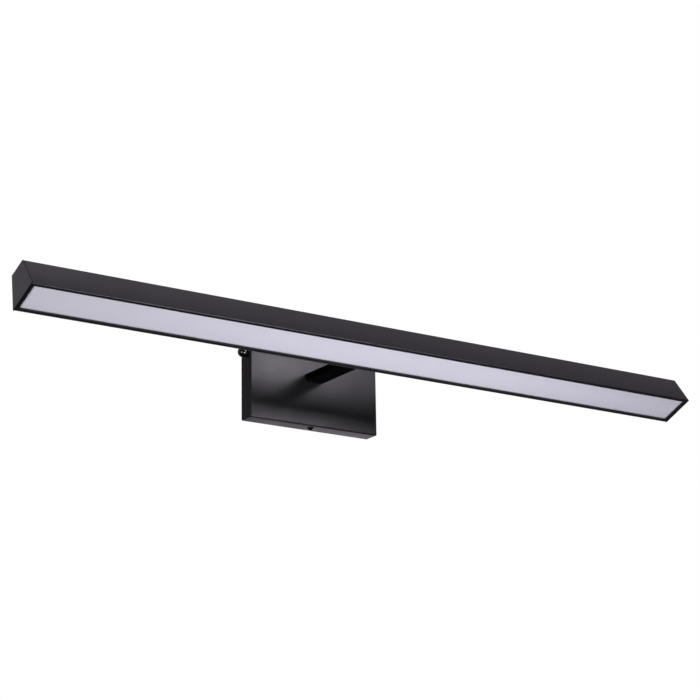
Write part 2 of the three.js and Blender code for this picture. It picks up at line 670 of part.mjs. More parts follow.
for (let i = 0; i < BOARD.count; i += 1) {
  const centre = (i - (BOARD.count - 1) / 2) * BOARD.pitch;
  piece(head, `led_board_${i + 1}`, ledBoard(centre), whiteBoard);
  piece(head, `thermal_tape_${i + 1}`, thermalTape(centre), greyTape);
  if (i > 0) piece(head, `board_connector_${i}`, boardConnector(centre - BOARD.pitch / 2), whitePlastic);
}

TRAY_SCREW_PLACES.forEach(([x, y], i) => {
  const screw = piece(head, `tray_screw_${i + 1}`, flatScrew(TRAY_SCREW), zincSteel);
  screw.position.set(x, y, TRAY.low - LOOSE);
  screw.rotation.x = Math.PI;
});

driverScrewPlaces.forEach((x, i) => {
  const screw = piece(head, `driver_screw_${i + 1}`, flatScrew(DRIVER_SCREW), zincSteel);
  screw.position.set(x, 0, DRIVER.low + DRIVER.footHeight + LOOSE);
});

for (const [name, side] of [["left", -1], ["right", 1]]) {
  const screw = piece(head, `end_cap_screw_${name}`, flatScrew(FOOT_SCREW), zincSteel);
  screw.position.set(side * footPlace, 0, footHigh + LOOSE);
}

// ---- dimmer on the canopy's left side: body, nut, shaft and a ball knob ----

const DIMMER = { depth: 16, across: 17, height: 20, bushing: 4, bore: 8 };
const DIMMER_NUT = { radius: 4.1, thickness: 1.6 };
const SHAFT = { radius: 2, outside: 7.2, inside: 7 };
const KNOB = { radius: 6.5, centre: 4.3, clearance: 0.4, recess: 4.4, recessDepth: 2.5, boreDepth: 5 };
const DIMPLE = { radius: 0.6, depth: 0.9 };
const BORE_PLAY = 0.05;
const knobAxis = [MID_DEPTH, KNOB_RISE];

function dimmerBody() {
  const wall = -CANOPY_SIDE + CANOPY_WALL;
  const body = block(
    [wall, wall + DIMMER.depth],
    [MID_DEPTH - DIMMER.across / 2, MID_DEPTH + DIMMER.across / 2],
    [KNOB_RISE - DIMMER.height / 2, KNOB_RISE + DIMMER.height / 2],
  );
  const bushing = rod("x", SWITCH_BUSHING, [wall - DIMMER.bushing, wall + 1], knobAxis);
  const bore = rod("x", SHAFT.radius + LOOSE, [wall - DIMMER.bushing - 1, wall + DIMMER.bore], knobAxis);
  return cut(join(body, bushing), bore);
}

function dimmerNut() {
  const span = [-CANOPY_SIDE - DIMMER_NUT.thickness, -CANOPY_SIDE];
  const bore = rod("x", SWITCH_BUSHING + LOOSE, [span[0] - 1, span[1] + 1], knobAxis);
  return cut(hexagon("x", DIMMER_NUT.radius, span, knobAxis), bore);
}

// The knob is a ball cut flat where it meets the canopy, hollow over the nut, with a dimple in its end.
function dimmerKnob() {
  const base = KNOB.centre - KNOB.clearance;
  const floor = KNOB.recessDepth - base;
  const bore = SHAFT.radius + BORE_PLAY;
  const start = THREE.MathUtils.radToDeg(Math.asin(base / KNOB.radius));
  const ball = arc([0, 0], KNOB.radius, -start, 78, 12);
  const profile = [
    [0, floor + KNOB.boreDepth],
    [bore, floor + KNOB.boreDepth],
    [bore, floor],
    [KNOB.recess, floor],
    [KNOB.recess, -base],
    ...ball,
    [DIMPLE.radius, KNOB.radius - DIMPLE.depth],
    [0, KNOB.radius - DIMPLE.depth],
  ];
  return revolve("x", profile);
}

const knob = piece(knobGroup, "dimmer_knob", dimmerKnob(), blackGloss);
knob.position.set(-CANOPY_SIDE - KNOB.centre, MID_DEPTH, KNOB_RISE);
knob.rotation.y = Math.PI;
const shaftSpan = [-CANOPY_SIDE - SHAFT.outside, -CANOPY_SIDE + CANOPY_WALL + SHAFT.inside];
piece(knobGroup, "dimmer_shaft", rod("x", SHAFT.radius, shaftSpan, knobAxis), zincSteel);
piece(light, "dimmer_body", dimmerBody(), blackPlastic);
piece(light, "dimmer_nut", dimmerNut(), zincSteel);

// ---- wiring: mains leads in the canopy, one cable through the arm, two leads to the boards ----

const CORE_START = -12.4; // where the cable's three cores leave its sheath
const BEND_ROOM = 1.8; // the two cable nodes stop short of the tilt axis, clear of each other at every tilt
const dimmerBack = -CANOPY_SIDE + CANOPY_WALL + DIMMER.depth + SLIP;
const blockEntry = BLOCK.x[0] - SLIP;
const blockMiddle = TERMINAL_FACE - BLOCK.depth / 2;

const armCable = tube(CABLE_RADIUS, [[0, CORE_START - SLIP, 0], [0, BEND_ROOM - PIVOT_REACH, 0]], 1, 10);
piece(light, "arm_cable", armCable, blackPvc);

const switchedLead = [
  [-1.4, CORE_START, 1],
  [-1.6, CORE_START + 1.5, 1.2],
  [-7, -8.2, 4],
  [-30, -7, 12],
  [-58, -9, 17],
  [dimmerBack + 4, -10, 18],
  [dimmerBack, -10, 18],
];
const liveLead = [
  [blockEntry, blockMiddle, BLOCK.pitch],
  [9, -6.8, 8],
  [-4, -6, 19],
  [-30, -6, 26],
  [-58, -8, 28],
  [dimmerBack + 4, -10, 27],
  [dimmerBack, -10, 27],
];
const neutralLead = [
  [1.5, CORE_START, 0.8],
  [1.6, CORE_START + 1.5, 0.8],
  [6, -8, 0.4],
  [11, -7, 0],
  [blockEntry, blockMiddle, 0],
];
const groundLead = [
  [0, CORE_START, -1.6],
  [0, CORE_START + 1.5, -1.8],
  [-2, -8.4, -5],
  [-8, -5.2, -11],
  [GROUND_PLACE[0], TERMINAL_FACE - BARREL.radius, GROUND_PLACE[1] + BARREL.to + 5],
  [GROUND_PLACE[0], TERMINAL_FACE - BARREL.radius, GROUND_PLACE[1] + BARREL.to + SLIP],
];
piece(light, "switched_lead", tube(LEAD_RADIUS, switchedLead, 20), redPvc);
piece(light, "live_lead", tube(LEAD_RADIUS, liveLead, 20), blackPvc);
piece(light, "neutral_lead", tube(LEAD_RADIUS, neutralLead, 10), whitePvc);
piece(light, "ground_lead", tube(LEAD_RADIUS, groundLead, 12), greenPvc);

// The head's end of the cable, in the leg's frame: in through the grommet, then along to the driver.
const driverEntry = new THREE.Vector3(DRIVER.from - 1, -legFoot.y, 22 - legFoot.z);
driverEntry.applyAxisAngle(new THREE.Vector3(1, 0, 0), -LEG_SLOPE);
const headCable = [
  [0, PIVOT_STAND_OFF - BEND_ROOM, 0],
  [0, 3, 0],
  [0, -3, 0],
  [4, -10.5, 1],
  [15, -15.5, 3],
  [driverEntry.x - 12, driverEntry.y, driverEntry.z],
  [driverEntry.x, driverEntry.y, driverEntry.z],
];
piece(leg, "head_cable", tube(CABLE_RADIUS, headCable, 26, 10), blackPvc);

// Output leads: out of the driver's right end, down through the tray and in to the board's edge.
for (const [name, offset, material] of [["positive", 1.3, redPvc], ["negative", -1.3, blackPvc]]) {
  const x = LEAD_HOLE.x + offset;
  const route = [
    [DRIVER.to + SLIP, 3 - 2 * offset, 20],
    [DRIVER.to + 4, 3 - 2 * offset, 20.2],
    [DRIVER.to + 13, 6 - 1.4 * offset, 21],
    [x, LEAD_HOLE.y - 0.4, 17],
    [x, LEAD_HOLE.y, TRAY.high],
    [x, LEAD_HOLE.y, boardLow],
    [x, LEAD_HOLE.y - 2.6, boardLow - 1.3],
    [x, BOARD.width / 2 - 2, boardLow - LEAD_RADIUS - LOOSE],
  ];
  piece(head, `output_lead_${name}`, tube(LEAD_RADIUS * 0.8, route, 22), material);
}

export default light;
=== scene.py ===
import json
import math

import bmesh
import bpy
from mathutils import Matrix, Vector
from mathutils.geometry import interpolate_bezier


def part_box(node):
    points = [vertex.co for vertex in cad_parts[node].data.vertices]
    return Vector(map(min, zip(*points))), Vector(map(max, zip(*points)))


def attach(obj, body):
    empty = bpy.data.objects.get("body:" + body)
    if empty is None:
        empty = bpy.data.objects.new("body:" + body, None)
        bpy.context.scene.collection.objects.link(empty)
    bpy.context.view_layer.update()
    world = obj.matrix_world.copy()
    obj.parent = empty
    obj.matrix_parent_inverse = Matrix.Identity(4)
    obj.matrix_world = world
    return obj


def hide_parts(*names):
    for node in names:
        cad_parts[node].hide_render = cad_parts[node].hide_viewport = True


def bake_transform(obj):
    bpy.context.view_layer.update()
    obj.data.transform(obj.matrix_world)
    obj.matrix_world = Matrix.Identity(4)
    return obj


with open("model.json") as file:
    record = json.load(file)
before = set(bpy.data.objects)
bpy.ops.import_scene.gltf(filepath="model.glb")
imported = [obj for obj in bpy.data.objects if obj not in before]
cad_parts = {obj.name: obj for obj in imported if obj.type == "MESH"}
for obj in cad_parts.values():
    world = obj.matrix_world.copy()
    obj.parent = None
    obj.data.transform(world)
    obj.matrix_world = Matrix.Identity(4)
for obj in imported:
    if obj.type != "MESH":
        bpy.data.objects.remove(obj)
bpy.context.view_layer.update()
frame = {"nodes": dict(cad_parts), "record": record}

# An LED vanity light bar on its canopy and arm. Metres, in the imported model's frame: the wall is the plane
# y = 0, +X runs along the bar, +Z is up and the light faces -Y.

MM = 0.001
JOINTS = {joint["name"]: joint for joint in frame["record"]["behaviour"]["joints"]}
SLOT_OF = {row["node"]: row["material_slot"] for row in frame["record"]["subparts"]}

# ---- driving dimensions ----

# the view and the floor
CAMERA_AZIMUTH = math.radians(-33.81)
CAMERA_ELEVATION = math.radians(-16.80)
CAMERA_ROLL = math.radians(-0.96)
CAMERA_PLACE = Vector((-1.377, -2.156, -0.731))
CAMERA_LENS = 111.7
CAMERA_SENSOR = 36
FLOOR_Z = -4.0
FLOOR_SIDE = 80

# what the lights point at
CANOPY_FRONT = (0, -0.02, 0)
BAR_MIDDLE = (0, -0.165, 0)
LEFT_CAP = (-0.457, -0.165, 0)
KNOB_MIDDLE = (-0.1, -0.01, 0.022)

# the head's section, tilt and diffuser
HEAD_BASE = 48.3 * MM
HEAD_TOP = 27.5 * MM
HEAD_HEIGHT = 39.75 * MM
HEAD_WALL = 1.4 * MM
HEAD_TILT = math.radians(22.3)
LEG_SLOPE = math.atan2((HEAD_BASE - HEAD_TOP) / 2, HEAD_HEIGHT)
PIVOT_STAND_OFF = 8 * MM
PIVOT_UP_LEG = 23.3 * MM
RIB_LOW = 12.9 * MM
RIB_HIGH = 14.1 * MM
RIB_REACH = 4.6 * MM
CAP_SEAM = 0.35 * MM
HEAD_EDGE = 0.5 * MM
RIM_EDGE = 1.0 * MM
RIM_INNER_EDGE = 0.2 * MM
SHEET_EDGE = 0.15 * MM
GROMMET_HOLE = 5 * MM
DIFFUSER_LOW = 2 * MM
DIFFUSER_HIGH = 4 * MM
DIFFUSER_SIDE = 2.1 * MM
DIFFUSER_CURVE = 3.3 * MM
DIFFUSER_RADIUS = 6 * MM

# the canopy, its holes and studs, and the arm; a cut runs past the faces it opens
CUT_BEYOND = 2 * MM
CANOPY_WALL = 1.5 * MM
CANOPY_BEND = 1.7 * MM
ARM_WALL = 1.5 * MM
ARM_EDGE = 0.8 * MM
ARM_PLAY = 0.15 * MM
STUD_RADIUS = 2 * MM
STUD_LENGTH = 7 * MM
STUD_X = 22 * MM
STUD_Z = 12.5 * MM
SCREW_HOLE = 2.3 * MM
BUSHING_HOLE = 3.2 * MM

# the cable, from the arm through the leg's grommet, along the head and up to the driver; its points
# in the leg are millimetres in the leg's frame
CABLE_RADIUS = 2.1 * MM
CABLE_BEND = 5 * MM
CABLE_STRAIGHT = 12 * MM
CABLE_IN_LEG = ((0, 3, 0), (0, -3, 0), (4, -10.5, 1), (15, -15.5, 3))
CABLE_HEIGHT = 22 * MM
CABLE_BEFORE_DRIVER = (13 * MM, 1 * MM)

# the ball knob
KNOB_RECESS_RADIUS = 4.3 * MM
KNOB_RECESS_DEPTH = 2.4 * MM
KNOB_DIMPLE = 1.3 * MM

# screws: a flat head's edge, and the socket's floor and corner radius as shares of the head's rise and radius
SCREW_EDGE = 0.25 * MM
SOCKET_FLOOR = 0.4
SOCKET_RADIUS = 0.45

# smoothing and joining of meshes
SHARP_ANGLE = math.radians(30)
CAD_SHARP_ANGLE = math.radians(50)
JOIN_DISTANCE = 1e-7
CAD_JOIN_DISTANCE = 1e-6

# joint axes
PIVOT = Vector(JOINTS["head_tilt"]["pos_m"])
KNOB_SEAT = Vector(JOINTS["dimmer_turn"]["pos_m"])


# ---- stage, camera and light ----

def add_camera():
    """The camera below the light and to its left, with its roll about the line of sight."""
    yaw = -CAMERA_AZIMUTH
    pitch = -CAMERA_ELEVATION
    ahead = Vector((math.sin(yaw) * math.cos(pitch), math.cos(yaw) * math.cos(pitch), math.sin(pitch)))
    level = Vector((math.cos(yaw), -math.sin(yaw), 0))
    upward = level.cross(ahead)
    right = level * math.cos(CAMERA_ROLL) + upward * math.sin(CAMERA_ROLL)
    up = upward * math.cos(CAMERA_ROLL) - level * math.sin(CAMERA_ROLL)
    data = bpy.data.cameras.new("camera")
    data.lens = CAMERA_LENS
    data.sensor_width = CAMERA_SENSOR
    camera = bpy.data.objects.new("camera", data)
    turn = Matrix((right, up, -ahead)).transposed().to_4x4()
    camera.matrix_world = Matrix.Translation(CAMERA_PLACE) @ turn
    bpy.context.scene.collection.objects.link(camera)
    bpy.context.scene.camera = camera


def add_floor():
    """A pale floor, well below the light, that the light itself doesn't mirror."""
    half = FLOOR_SIDE / 2
    mesh = bpy.data.meshes.new("floor")
    corners = [(-half, -half), (half, -half), (half, half), (-half, half)]
    mesh.from_pydata([(x, y, FLOOR_Z) for x, y in corners], [], [(0, 1, 2, 3)])
    floor = bpy.data.objects.new("floor", mesh)
    bpy.context.scene.collection.objects.link(floor)
    floor.visible_glossy = False
    floor.visible_diffuse = False
    material = bpy.data.materials.new("floor")
    material.use_nodes = True
    shader = material.node_tree.nodes["Principled BSDF"]
    shader.inputs["Base Color"].default_value = (0.85, 0.85, 0.86, 1)
    shader.inputs["Roughness"].default_value = 0.8
    shader.inputs["Emission Color"].default_value = (1, 1, 1, 1)
    shader.inputs["Emission Strength"].default_value = 0.5
    mesh.materials.append(material)


def area_light(name, place, target, size, power, colour):
    """A soft box, seen in reflections but not by the camera itself."""
    data = bpy.data.lights.new(name, "AREA")
    data.shape = "RECTANGLE"
    data.size, data.size_y = size
    data.energy = power
    data.color = colour
    light = bpy.data.objects.new(name, data)
    light.location = place
    light.rotation_euler = (Vector(target) - Vector(place)).to_track_quat("-Z", "Y").to_euler()
    light.visible_camera = False
    bpy.context.scene.collection.objects.link(light)


class WorldNodes:
    """Short ways to write the studio's brightness as a function of direction."""

    def __init__(self, tree):
        self.tree = tree
        self.direction = tree.nodes.new("ShaderNodeTexCoord").outputs["Generated"]

    def math(self, operation, first, second):
        """The sum, difference or product of two values."""
        node = self.tree.nodes.new("ShaderNodeMath")
        node.operation = operation
        self.tree.links.new(first, node.inputs[0])
        self.tree.links.new(second, node.inputs[1])
        return node.outputs[0]

    def towards(self, axis):
        """The cosine between the direction and an axis."""
        node = self.tree.nodes.new("ShaderNodeVectorMath")
        node.operation = "DOT_PRODUCT"
        self.tree.links.new(self.direction, node.inputs[0])
        node.inputs[1].default_value = axis
        return node.outputs["Value"]

    def step(self, value, start, stop, low, high):
        """A smooth step from low to high as the value goes from start to stop."""
        node = self.tree.nodes.new("ShaderNodeMapRange")
        node.interpolation_type = "SMOOTHSTEP"
        for name, number in (("From Min", start), ("From Max", stop), ("To Min", low), ("To Max", high)):
            node.inputs[name].default_value = number
        self.tree.links.new(value, node.inputs["Value"])
        return node.outputs["Result"]


def add_world():
    """A white studio wall behind the light, bright low down, dim in front and dark underneath."""
    world = bpy.data.worlds.new("studio")
    bpy.context.scene.world = world
    world.use_nodes = True
    tree = world.node_tree
    tree.nodes.clear()
    link = tree.links.new
    at = WorldNodes(tree)
    height = at.towards((0, 0, 1))
    rise = at.step(height, -0.62, -0.26, 0.03, 0.85)
    fall = at.step(height, -0.10, 0.40, 0.0, 0.50)
    overhead = at.step(height, 0.82, 0.94, 0.0, 0.55)
    back = at.step(at.towards((0, 1, 0)), -0.45, 0.0, 0.15, 1.0)
    left = at.step(at.towards((-1, 0, 0)), 0.1, 0.5, 1.0, 0.2)
    level = at.math("ADD", at.math("SUBTRACT", rise, fall), overhead)
    strength = at.math("MULTIPLY", level, at.math("MULTIPLY", back, left))
    surround = tree.nodes.new("ShaderNodeBackground")
    surround.inputs["Color"].default_value = (1.0, 0.93, 1.06, 1)
    link(strength, surround.inputs["Strength"])
    white = tree.nodes.new("ShaderNodeBackground")
    white.inputs["Color"].default_value = (1, 1, 1, 1)
    path = tree.nodes.new("ShaderNodeLightPath")
    mix = tree.nodes.new("ShaderNodeMixShader")
    out = tree.nodes.new("ShaderNodeOutputWorld")
    link(path.outputs["Is Camera Ray"], mix.inputs["Fac"])
    link(surround.outputs[0], mix.inputs[1])
    link(white.outputs[0], mix.inputs[2])
    link(mix.outputs[0], out.inputs["Surface"])


SOFTBOXES = (
    ("right_softbox", (0.42, -0.97, 0.25), CANOPY_FRONT, (0.5, 0.3), 4.5, (1, 0.95, 1.06)),
    ("front_low_softbox", (0.05, -0.86, -0.39), BAR_MIDDLE, (0.4, 0.3), 5.7, (0.95, 0.95, 1.03)),
    ("left_panel", (-0.74, 0.24, 0.15), LEFT_CAP, (0.34, 0.34), 0.15, (1, 0.95, 1.06)),
    ("left_softbox", (-1.94, -1.21, -0.65), KNOB_MIDDLE, (0.7, 0.7), 20, (1, 1, 1)),
)


def add_lights():
    """The soft boxes, each with its place, target, size, watts and colour."""
    for softbox in SOFTBOXES:
        area_light(*softbox)


# ---- materials ----

def principled(name, base, roughness, **constants):
    """A Principled material whose constants are set straight on its sockets."""
    material = bpy.data.materials.new(name)
    material.use_nodes = True
    shader = material.node_tree.nodes["Principled BSDF"]
    shader.inputs["Base Color"].default_value = (*base, 1)
    shader.inputs["Roughness"].default_value = roughness
    for socket, value in constants.items():
        shader.inputs[socket.replace("_", " ")].default_value = value
    return material


def texture(material, kind, scale, detail=2.0, stretch=(1, 1, 1)):
    """A noise or voronoi texture over the object's own coordinates, at scale features a metre."""
    tree = material.node_tree
    coords = tree.nodes.new("ShaderNodeTexCoord")
    mapping = tree.nodes.new("ShaderNodeMapping")
    mapping.inputs["Scale"].default_value = stretch
    node = tree.nodes.new(kind)
    node.inputs["Scale"].default_value = scale
    node.inputs["Detail"].default_value = detail
    tree.links.new(coords.outputs["Object"], mapping.inputs["Vector"])
    tree.links.new(mapping.outputs["Vector"], node.inputs["Vector"])
    return node.outputs[0]


def remap(material, value, low, high, start=0.3, stop=0.7):
    """A texture's value stretched from start and stop to low and high."""
    node = material.node_tree.nodes.new("ShaderNodeMapRange")
    node.inputs["From Min"].default_value = start
    node.inputs["From Max"].default_value = stop
    node.inputs["To Min"].default_value = low
    node.inputs["To Max"].default_value = high
    material.node_tree.links.new(value, node.inputs["Value"])
    return node.outputs["Result"]


def shade_between(material, value, dark, light):
    """Colours the surface between two colours by a texture's value."""
    tree = material.node_tree
    mix = tree.nodes.new("ShaderNodeMix")
    mix.data_type = "RGBA"
    colours = [socket for socket in mix.inputs if socket.type == "RGBA"]
    colours[0].default_value = (*dark, 1)
    colours[1].default_value = (*light, 1)
    tree.links.new(value, mix.inputs["Factor"])
    result = next(socket for socket in mix.outputs if socket.type == "RGBA")
    tree.links.new(result, tree.nodes["Principled BSDF"].inputs["Base Color"])


def roughen(material, value, low, high):
    """Varies the roughness between two values by a texture's value."""
    tree = material.node_tree
    tree.links.new(remap(material, value, low, high), tree.nodes["Principled BSDF"].inputs["Roughness"])


def emboss(material, layers, strength=0.5):
    """Bumps the surface by several textures, each with its own depth in metres."""
    tree = material.node_tree
    normal = None
    for value, depth in layers:
        bump = tree.nodes.new("ShaderNodeBump")
        bump.inputs["Strength"].default_value = strength
        bump.inputs["Distance"].default_value = depth
        tree.links.new(value, bump.inputs["Height"])
        if normal is not None:
            tree.links.new(normal, bump.inputs["Normal"])
        normal = bump.outputs["Normal"]
    tree.links.new(normal, tree.nodes["Principled BSDF"].inputs["Normal"])


def black_coat():
    """Satin powder coat: fine orange peel, with faint clouds in its colour and gloss."""
    material = principled("black_coat", (0.0022, 0.002, 0.0026), 0.38)
    cloud = texture(material, "ShaderNodeTexNoise", 22, 3)
    peel = texture(material, "ShaderNodeTexNoise", 1500, 2)
    speck = texture(material, "ShaderNodeTexVoronoi", 2600)
    shade_between(material, remap(material, cloud, 0, 1), (0.0016, 0.0014, 0.0019), (0.0028, 0.0025, 0.0033))
    roughen(material, cloud, 0.34, 0.41)
    emboss(material, [(peel, 0.00003), (speck, 0.00001)], 0.3)
    return material


def shaded_black_coat():
    """The arm's black coat painted darker: the same powder with its colour darkened and hardly any sheen, as
    painted shade on the arm.
    """
    material = principled("shaded_black_coat", (0.001, 0.0009, 0.0012), 0.5, Specular_IOR_Level=0.05)
    cloud = texture(material, "ShaderNodeTexNoise", 22, 3)
    peel = texture(material, "ShaderNodeTexNoise", 1500, 2)
    shade_between(material, remap(material, cloud, 0, 1), (0.0008, 0.0007, 0.0010), (0.0014, 0.0012, 0.0017))
    roughen(material, cloud, 0.46, 0.54)
    emboss(material, [(peel, 0.00003)], 0.3)
    return material


def black_gloss():
    """Gloss black lacquer over turned metal."""
    material = principled("black_gloss", (0.003, 0.003, 0.0035), 0.12, Coat_Weight=0.6, Coat_Roughness=0.05)
    swirl = texture(material, "ShaderNodeTexNoise", 260, 3)
    shade_between(material, remap(material, swirl, 0, 1), (0.0022, 0.0022, 0.0026), (0.004, 0.004, 0.0046))
    roughen(material, swirl, 0.08, 0.15)
    emboss(material, [(swirl, 0.00001)], 0.2)
    return material


def black_plastic():
    """Matt black moulding with a fine spark-eroded grain."""
    material = principled("black_plastic", (0.004, 0.004, 0.0045), 0.5, Specular_IOR_Level=0.4)
    grain = texture(material, "ShaderNodeTexNoise", 3200, 2)
    patch = texture(material, "ShaderNodeTexNoise", 60, 2)
    shade_between(material, remap(material, patch, 0, 1), (0.0035, 0.0035, 0.004), (0.006, 0.006, 0.0066))
    roughen(material, patch, 0.42, 0.54)
    emboss(material, [(grain, 0.00002)], 0.35)
    return material


def opal():
    """Satin opal acrylic: milky, with light carried a little way under the surface."""
    material = principled("opal", (0.80, 0.78, 0.86), 0.38, Subsurface_Weight=0.3, Subsurface_Scale=0.004)
    material.node_tree.nodes["Principled BSDF"].inputs["Subsurface Radius"].default_value = (1, 1, 1)
    frost = texture(material, "ShaderNodeTexNoise", 2400, 2)
    drift = texture(material, "ShaderNodeTexNoise", 9, 2)
    shade_between(material, remap(material, drift, 0, 1), (0.785, 0.765, 0.85), (0.815, 0.795, 0.875))
    roughen(material, frost, 0.36, 0.48)
    emboss(material, [(frost, 0.00001)], 0.2)
    return material


def zinc_steel():
    """Zinc-plated steel: rolled grain along X, a mottled brightness and a faint warm to blue cast."""
    material = principled("zinc_steel", (0.55, 0.56, 0.57), 0.34, Metallic=1.0)
    rolled = texture(material, "ShaderNodeTexNoise", 900, 3, (0.08, 1, 1))
    spangle = texture(material, "ShaderNodeTexVoronoi", 240)
    shade_between(material, remap(material, spangle, 0, 1, 0, 1), (0.50, 0.52, 0.55), (0.60, 0.60, 0.58))
    roughen(material, rolled, 0.26, 0.42)
    emboss(material, [(rolled, 0.00002)], 0.25)
    return material


def mill_aluminium():
    """Mill-finish aluminium with drawing lines along X."""
    material = principled("mill_aluminium", (0.70, 0.71, 0.72), 0.36, Metallic=1.0)
    drawn = texture(material, "ShaderNodeTexNoise", 1400, 3, (0.02, 1, 1))
    shade_between(material, remap(material, drawn, 0, 1), (0.64, 0.65, 0.66), (0.76, 0.77, 0.78))
    roughen(material, drawn, 0.28, 0.46)
    emboss(material, [(drawn, 0.00001)], 0.3)
    return material


def moulded(name, dark, light, roughness):
    """A moulded or extruded plastic or rubber between two close colours."""
    material = principled(name, light, roughness)
    grain = texture(material, "ShaderNodeTexNoise", 2600, 2)
    patch = texture(material, "ShaderNodeTexNoise", 90, 2)
    shade_between(material, remap(material, patch, 0, 1), dark, light)
    roughen(material, patch, roughness - 0.06, roughness + 0.06)
    emboss(material, [(grain, 0.00002)], 0.35)
    return material


MATERIALS = {
    "black_coat": black_coat(),
    # the black coat again, painted darker as shade for the arm
    "shaded_black_coat": shaded_black_coat(),
    "black_gloss": black_gloss(),
    "black_plastic": black_plastic(),
    "opal": opal(),
    "zinc_steel": zinc_steel(),
    "mill_aluminium": mill_aluminium(),
    "white_plastic": moulded("white_plastic", (0.72, 0.72, 0.68), (0.80, 0.80, 0.77), 0.45),
    "white_board": moulded("white_board", (0.80, 0.80, 0.76), (0.88, 0.88, 0.85), 0.35),
    "grey_tape": moulded("grey_tape", (0.20, 0.22, 0.24), (0.28, 0.30, 0.32), 0.8),
    "black_rubber": moulded("black_rubber", (0.008, 0.008, 0.008), (0.014, 0.014, 0.014), 0.78),
    "black_pvc": moulded("black_pvc", (0.009, 0.009, 0.009), (0.014, 0.014, 0.014), 0.42),
    "white_pvc": moulded("white_pvc", (0.70, 0.70, 0.66), (0.78, 0.78, 0.75), 0.42),
    "red_pvc": moulded("red_pvc", (0.30, 0.012, 0.012), (0.40, 0.02, 0.018), 0.42),
    "green_pvc": moulded("green_pvc", (0.02, 0.16, 0.04), (0.035, 0.22, 0.055), 0.42),
    "green_screw": moulded("green_screw", (0.02, 0.15, 0.04), (0.05, 0.26, 0.08), 0.3),
}


# ---- mesh helpers ----

def new_piece(name, mesh, body, slot, *nodes):
    """Links a mesh as a piece of the light: its material, its body and the CAD nodes it stands for."""
    piece = bpy.data.objects.new(name, mesh)
    bpy.context.scene.collection.objects.link(piece)
    mesh.materials.clear()
    mesh.materials.append(MATERIALS[slot])
    mesh.shade_smooth()
    mesh.set_sharp_from_angle(angle=SHARP_ANGLE)
    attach(piece, body)
    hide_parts(*nodes)
    return piece


def mesh_of(name, bm):
    """Makes a bmesh into a mesh, with doubled points joined and faces turned outwards."""
    bmesh.ops.remove_doubles(bm, verts=bm.verts, dist=JOIN_DISTANCE)
    bmesh.ops.recalc_face_normals(bm, faces=bm.faces)
    mesh = bpy.data.meshes.new(name)
    bm.to_mesh(mesh)
    bm.free()
    return mesh


def rounded(corners, segments=6):
    """An outline with each (y, z, radius) corner turned into an arc."""
    points = []
    count = len(corners)
    for i, (y, z, radius) in enumerate(corners):
        here = Vector((y, z))
        if radius == 0:
            points.append(here)
            continue
        to_last = (Vector(corners[i - 1][:2]) - here).normalized()
        to_next = (Vector(corners[(i + 1) % count][:2]) - here).normalized()
        half = to_last.angle(to_next) / 2
        centre = here + (to_last + to_next).normalized() * radius / math.sin(half)
        reach = radius / math.tan(half)
        start = here + to_last * reach - centre
        sweep = start.angle_signed(here + to_next * reach - centre)
        for step in range(segments + 1):
            points.append(centre + Matrix.Rotation(-sweep * step / segments, 2) @ start)
    return points


def prism(outline, x0, x1):
    """A closed outline of (y, z) points swept from x0 to x1."""
    bm = bmesh.new()
    rings = [[bm.verts.new((x, p.x, p.y)) for p in outline] for x in (x0, x1)]
    count = len(outline)
    for i in range(count):
        j = (i + 1) % count
        bm.faces.new((rings[0][i], rings[0][j], rings[1][j], rings[1][i]))
    bm.faces.new(rings[0])
    bm.faces.new(list(reversed(rings[1])))
    return bm


def lathe(profile, segments=48):
    """A profile of (radius, height) points, axis to axis, revolved about Z."""
    bm = bmesh.new()
    rings = []
    for radius, height in profile:
        if radius == 0:
            rings.append([bm.verts.new((0, 0, height))])
            continue
        angles = [2 * math.pi * i / segments for i in range(segments)]
        rings.append([bm.verts.new((radius * math.cos(a), radius * math.sin(a), height)) for a in angles])
    for low, high in zip(rings, rings[1:]):
        for i in range(segments):
            j = (i + 1) % segments
            corners = [low[i % len(low)], low[j % len(low)], high[j % len(high)], high[i % len(high)]]
            bm.faces.new(list(dict.fromkeys(corners)))
    return bm


def rod(radius, start, end, segments=32):
    """A round rod between two points, as a mesh."""
    reach = Vector(end) - Vector(start)
    mesh = mesh_of("rod", lathe([(0, 0), (radius, 0), (radius, reach.length), (0, reach.length)], segments))
    mesh.transform(Matrix.Translation(start) @ reach.to_track_quat("Z", "Y").to_matrix().to_4x4())
    return mesh


def box_bmesh(low, high):
    """A block between two corners."""
    bm = bmesh.new()
    bmesh.ops.create_cube(bm, size=1)
    for vert in bm.verts:
        for axis in range(3):
            vert.co[axis] = high[axis] if vert.co[axis] > 0 else low[axis]
    return bm


def bar_along_y(low, high, edge):
    """A block between two corners with the four edges along Y rounded, as a mesh."""
    bm = box_bmesh(low, high)
    long_edges = [e for e in bm.edges if abs(e.verts[0].co.y - e.verts[1].co.y) > edge]
    bmesh.ops.bevel(bm, geom=long_edges, offset=edge, segments=6, profile=0.5, affect="EDGES")
    return mesh_of("bar", bm)


def combined(mesh, operation, tools):
    """A mesh with other meshes cut out of it or joined to it."""
    base = bpy.data.objects.new("base", mesh)
    bpy.context.scene.collection.objects.link(base)
    helpers = [base]
    for tool_mesh in tools:
        tool = bpy.data.objects.new("tool", tool_mesh)
        bpy.context.scene.collection.objects.link(tool)
        modifier = base.modifiers.new("tool", "BOOLEAN")
        modifier.operation = operation
        modifier.solver = "EXACT"
        modifier.object = tool
        helpers.append(tool)
    bpy.context.view_layer.update()
    graph = bpy.context.evaluated_depsgraph_get()
    made = bpy.data.meshes.new_from_object(base.evaluated_get(graph))
    for helper in helpers:
        bpy.data.objects.remove(helper)
    return made


def soften(piece, width, segments=3, angle=40):
    """Rounds a piece's sharp edges by a small radius."""
    bevel = piece.modifiers.new("edges", "BEVEL")
    bevel.width = width
    bevel.segments = segments
    bevel.limit_method = "ANGLE"
    bevel.angle_limit = math.radians(angle)
    bevel.harden_normals = True


